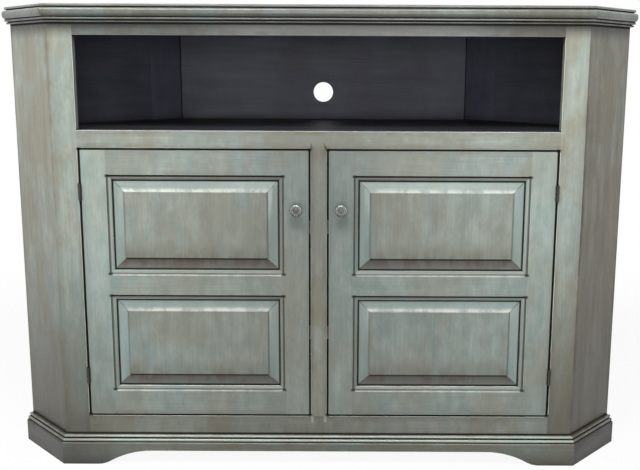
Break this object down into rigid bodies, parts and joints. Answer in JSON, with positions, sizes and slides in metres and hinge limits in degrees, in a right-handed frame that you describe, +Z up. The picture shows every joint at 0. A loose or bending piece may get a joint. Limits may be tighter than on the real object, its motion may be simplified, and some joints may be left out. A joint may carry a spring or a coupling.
{
  "type": "corner tv stand",
  "caption": "Corner TV stand with angled wings: open media bay with a cable hole over two inset raised-panel doors on butt hinges, moulded top and scalloped base.",
  "frame": {"origin": "on the floor, under the middle of the stand's bounding box", "axes": "+X along the front to the right as seen from the front, +Y towards the room's corner, +Z up"},
  "size_m": [1.4152, 0.453, 1.0191],
  "materials": {
    "painted_wood": "sage paint with umber glaze, satin",
    "dark_interior": "dark slate stain, matt",
    "pewter": "satin pewter",
    "hinge_metal": "antique bronze, satin",
    "steel": "zinc plated",
    "catch_plastic": "moulded, off-white",
    "magnet": "ferrite, matt",
    "bare_wood": "bare softwood"
  },
  "bodies": {
    "carcass": {"back_panel": "dark_interior", "base_board_front": "painted_wood", "base_board_left": "painted_wood", "base_board_right": "painted_wood", "base_moulding_front": "painted_wood", "base_moulding_left": "painted_wood", "base_moulding_right": "painted_wood", "bay_floor": "dark_interior", "bottom_rail": "painted_wood", "catch_housings": "catch_plastic", "catch_magnets": "magnet", "centre_stile": "painted_wood", "corner_board_left": "dark_interior", "corner_board_right": "dark_interior", "cupboard_floor": "dark_interior", "frame_hinge_leaves": "hinge_metal", "frame_screws": "steel", "glue_blocks": "bare_wood", "hinge_pins": "hinge_metal", "middle_rail": "painted_wood", "partition": "dark_interior", "rear_side_left": "dark_interior", "rear_side_right": "dark_interior", "shelf_left": "dark_interior", "shelf_pins": "steel", "shelf_right": "dark_interior", "stile_left": "painted_wood", "stile_right": "painted_wood", "top_board": "painted_wood", "top_moulding_front": "painted_wood", "top_moulding_left": "painted_wood", "top_moulding_right": "painted_wood", "top_rail": "painted_wood", "wing_left": "painted_wood", "wing_right": "painted_wood"},
    "left_door": {"left_door_bottom_rail": "painted_wood", "left_door_hinge_leaves": "hinge_metal", "left_door_hinge_stile": "painted_wood", "left_door_knob": "pewter", "left_door_knob_screw": "steel", "left_door_latch_stile": "painted_wood", "left_door_lower_panel": "painted_wood", "left_door_middle_rail": "painted_wood", "left_door_screws": "steel", "left_door_strikes": "steel", "left_door_top_rail": "painted_wood", "left_door_upper_panel": "painted_wood"},
    "right_door": {"right_door_bottom_rail": "painted_wood", "right_door_hinge_leaves": "hinge_metal", "right_door_hinge_stile": "painted_wood", "right_door_knob": "pewter", "right_door_knob_screw": "steel", "right_door_latch_stile": "painted_wood", "right_door_lower_panel": "painted_wood", "right_door_middle_rail": "painted_wood", "right_door_screws": "steel", "right_door_strikes": "steel", "right_door_top_rail": "painted_wood", "right_door_upper_panel": "painted_wood"}
  },
  "joints": [
    {"name": "left_door_hinge", "type": "hinge", "parent": "carcass", "child": "left_door", "pos_m": [-0.51675, -0.2031, 0.41365], "axis": [0, 0, -1], "range_deg": [0, 170]},
    {"name": "right_door_hinge", "type": "hinge", "parent": "carcass", "child": "right_door", "pos_m": [0.51675, -0.2031, 0.41365], "axis": [0, 0, 1], "range_deg": [0, 170]}
  ]
}
